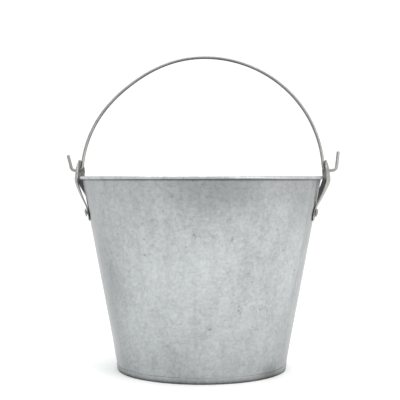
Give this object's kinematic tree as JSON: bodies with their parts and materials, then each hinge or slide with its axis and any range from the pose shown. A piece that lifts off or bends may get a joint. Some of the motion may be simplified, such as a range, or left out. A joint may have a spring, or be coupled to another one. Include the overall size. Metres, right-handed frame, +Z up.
{
  "type": "ice bucket",
  "caption": "Tapered galvanised ice bucket with a rolled rim, folded bottom seam, riveted arched ears and a swinging wire bail.",
  "frame": {"origin": "on the bucket's axis at the level it stands on", "axes": "+Z up along the bucket's axis; +X and -X point at the two ears, so the bail's pivot axis is X; the bail leans back towards +Y at rest"},
  "size_m": [0.2092, 0.1846, 0.2413],
  "materials": {
    "zinc_wall": "hot-dip galvanised sheet, satin, mottled with soft spangle",
    "zinc_bottom": "galvanised sheet, satin",
    "rim_wire_steel": "plain drawn wire",
    "seam_compound": "matt sealing compound",
    "zinc_ear": "galvanised pressed sheet, satin",
    "rivet_steel": "zinc-plated, satin",
    "bail_wire_steel": "zinc-plated drawn wire"
  },
  "bodies": {
    "pail": {"pail_wall": "zinc_wall", "rim_wire": "rim_wire_steel", "bottom_pan": "zinc_bottom", "seam_seal": "seam_compound", "ear_right": "zinc_ear", "ear_left": "zinc_ear", "rivet_right_front": "rivet_steel", "rivet_right_back": "rivet_steel", "rivet_left_front": "rivet_steel", "rivet_left_back": "rivet_steel"},
    "bail": {"bail": "bail_wire_steel"}
  },
  "joints": [
    {"name": "bail_swing", "type": "hinge", "parent": "pail", "child": "bail", "pos_m": [0, 0, 0.1504], "axis": [1, 0, 0], "range_deg": [-72, 112]}
  ]
}
